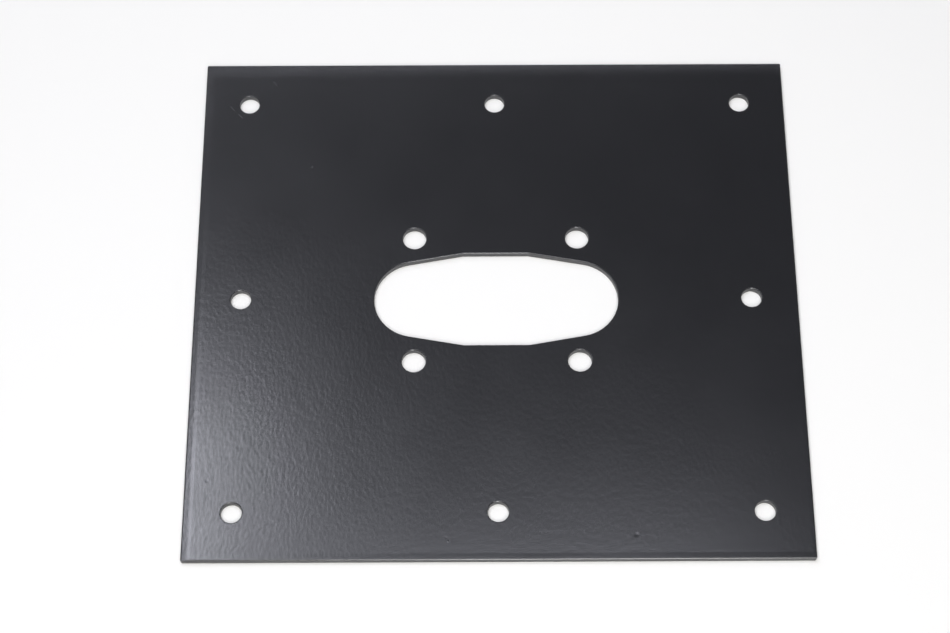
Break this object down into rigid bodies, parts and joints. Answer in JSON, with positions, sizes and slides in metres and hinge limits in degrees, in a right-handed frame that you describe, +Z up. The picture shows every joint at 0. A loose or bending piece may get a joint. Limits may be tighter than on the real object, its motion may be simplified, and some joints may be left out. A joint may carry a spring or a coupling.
{
  "type": "motor mounting bracket",
  "caption": "Flat sheet steel bracket with bolt holes round its border, a motor bolt pattern and a long tapered opening in the middle.",
  "frame": {"origin": "centre of the bottom face", "axes": "+X to the right along the longer sides, +Y to the back, +Z up out of the top face, the side whose edges are rolled down"},
  "size_m": [0.28, 0.256, 0.0032],
  "materials": {
    "black_powder_coat": "semi-gloss black powder coat with a fine orange peel over sheet steel"
  },
  "bodies": {
    "root": {"mounting_plate": "black_powder_coat"}
  },
  "joints": []
}
